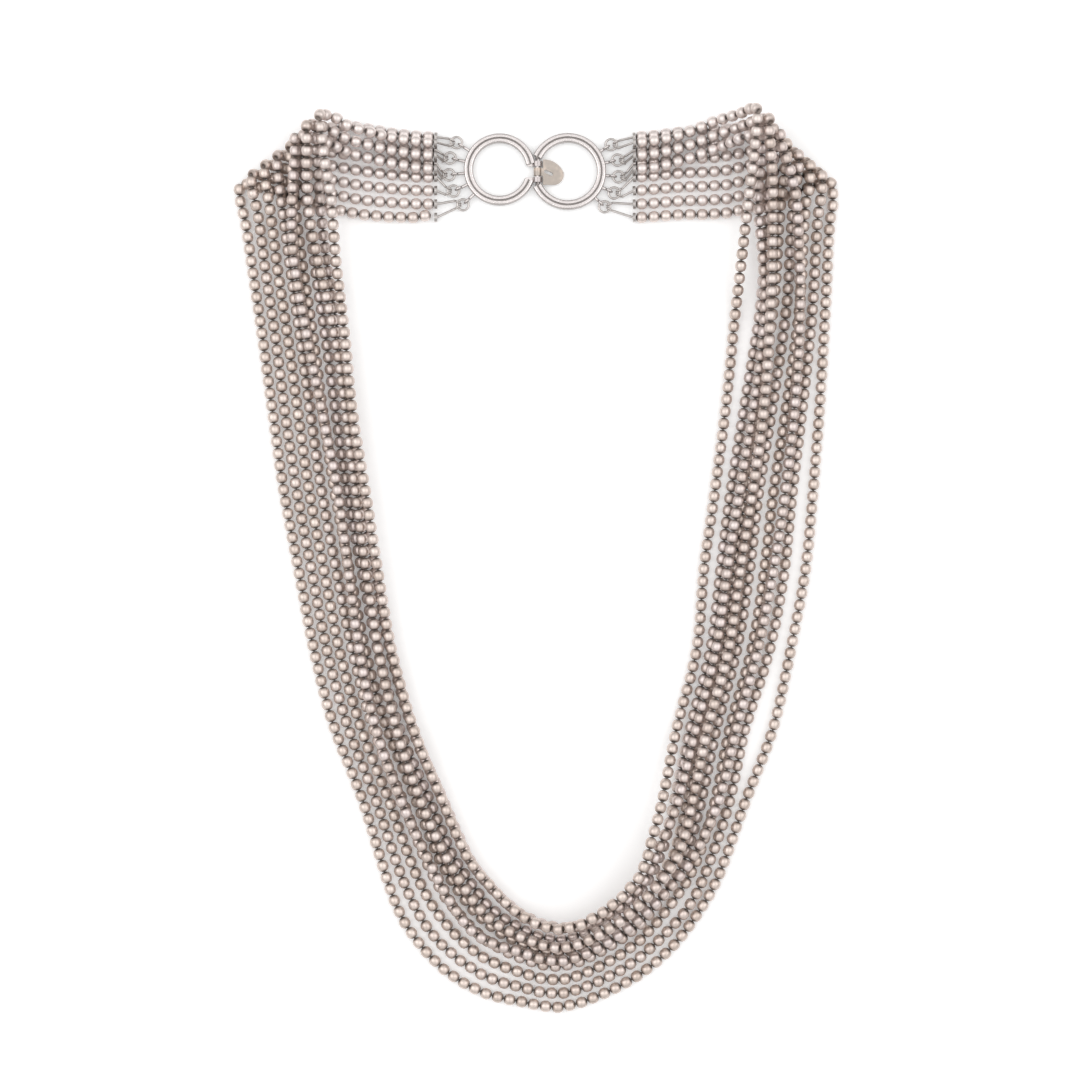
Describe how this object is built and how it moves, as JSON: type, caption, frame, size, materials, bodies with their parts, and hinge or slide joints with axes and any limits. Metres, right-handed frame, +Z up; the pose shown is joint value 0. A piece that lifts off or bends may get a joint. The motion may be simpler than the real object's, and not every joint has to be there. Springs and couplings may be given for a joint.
{
  "type": "multi strand necklace",
  "caption": "Bib necklace of many beaded strands laid flat in its worn shape, gathered on jump rings at a two ring hook and bar clasp with a small turning lever.",
  "frame": {"origin": "middle of the necklace's plan, on the surface that it lies on", "axes": "+Z up from the surface, +Y from the front of the necklace towards its clasp, +X to the right as seen from above"},
  "size_m": [0.1517, 0.226, 0.0171],
  "materials": {
    "bead_silver": "satin silver with a faint warm cast",
    "clasp_silver": "satin silver, finely textured",
    "lever_metal": "darker brushed metal with an olive cast"
  },
  "bodies": {
    "necklace": {"clasp_ring_left": "clasp_silver", "clasp_ring_right": "clasp_silver", "jump_ring_left_1": "clasp_silver", "jump_ring_left_2": "clasp_silver", "jump_ring_left_3": "clasp_silver", "jump_ring_left_4": "clasp_silver", "jump_ring_left_5": "clasp_silver", "jump_ring_right_1": "clasp_silver", "jump_ring_right_2": "clasp_silver", "jump_ring_right_3": "clasp_silver", "jump_ring_right_4": "clasp_silver", "jump_ring_right_5": "clasp_silver", "end_link_left_1": "clasp_silver", "end_link_left_2": "clasp_silver", "end_link_left_3": "clasp_silver", "end_link_left_4": "clasp_silver", "end_link_left_5": "clasp_silver", "end_link_left_6": "clasp_silver", "end_link_left_7": "clasp_silver", "end_link_left_8": "clasp_silver", "end_link_left_9": "clasp_silver", "end_link_left_10": "clasp_silver", "end_link_right_1": "clasp_silver", "end_link_right_2": "clasp_silver", "end_link_right_3": "clasp_silver", "end_link_right_4": "clasp_silver", "end_link_right_5": "clasp_silver", "end_link_right_6": "clasp_silver", "end_link_right_7": "clasp_silver", "end_link_right_8": "clasp_silver", "end_link_right_9": "clasp_silver", "end_link_right_10": "clasp_silver", "strand_1": "bead_silver", "strand_2": "bead_silver", "strand_3": "bead_silver", "strand_4": "bead_silver", "strand_5": "bead_silver", "strand_6": "bead_silver", "strand_7": "bead_silver", "strand_8": "bead_silver", "strand_9": "bead_silver", "strand_10": "bead_silver"},
    "lever": {"clasp_lever": "lever_metal"}
  },
  "joints": [
    {"name": "lever_hinge", "type": "hinge", "parent": "necklace", "child": "lever", "pos_m": [0.00032, 0.0976, 0.0013], "axis": [0, -1, 0], "range_deg": [0, 120]}
  ]
}
